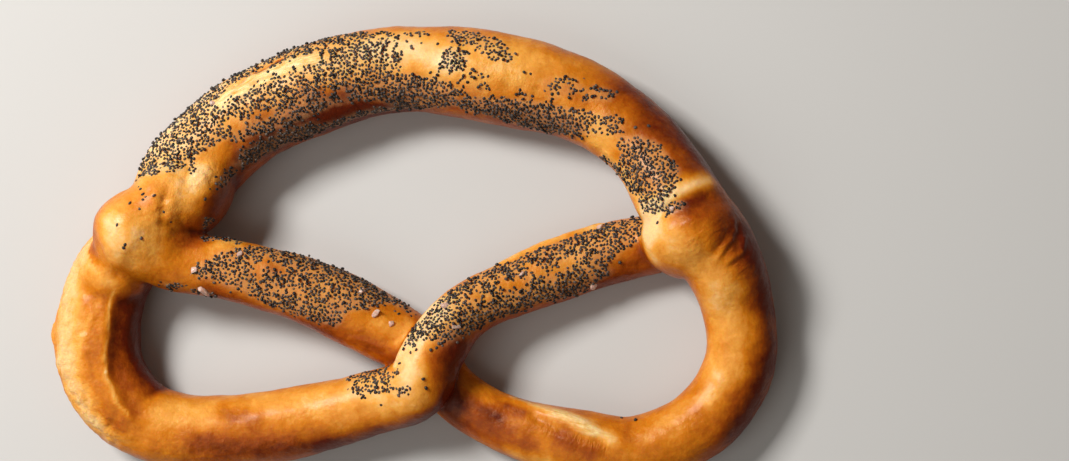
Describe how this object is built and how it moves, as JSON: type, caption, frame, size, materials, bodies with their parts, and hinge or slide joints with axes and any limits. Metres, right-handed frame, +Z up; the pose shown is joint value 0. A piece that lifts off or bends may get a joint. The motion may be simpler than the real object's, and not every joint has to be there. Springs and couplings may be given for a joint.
{
  "type": "pretzel",
  "caption": "Baked soft pretzel lying flat: one rope of dough crossed into a thick arch and two loops, glossy golden crust with poppy seeds and coarse salt.",
  "frame": {"origin": "on the tray plane that the pretzel lies on, at the middle of its outline seen from above", "axes": "+Z up, out of the seeded top; +X along the pretzel's width, towards the shoulder that lies over the tucked arm end; +Y from the crossing to the thick arch"},
  "size_m": [0.2051, 0.1277, 0.0297],
  "materials": {
    "crust": "glossy golden-brown baked crust with black poppy seeds"
  },
  "bodies": {
    "root": {"pretzel": "crust"}
  },
  "joints": []
}
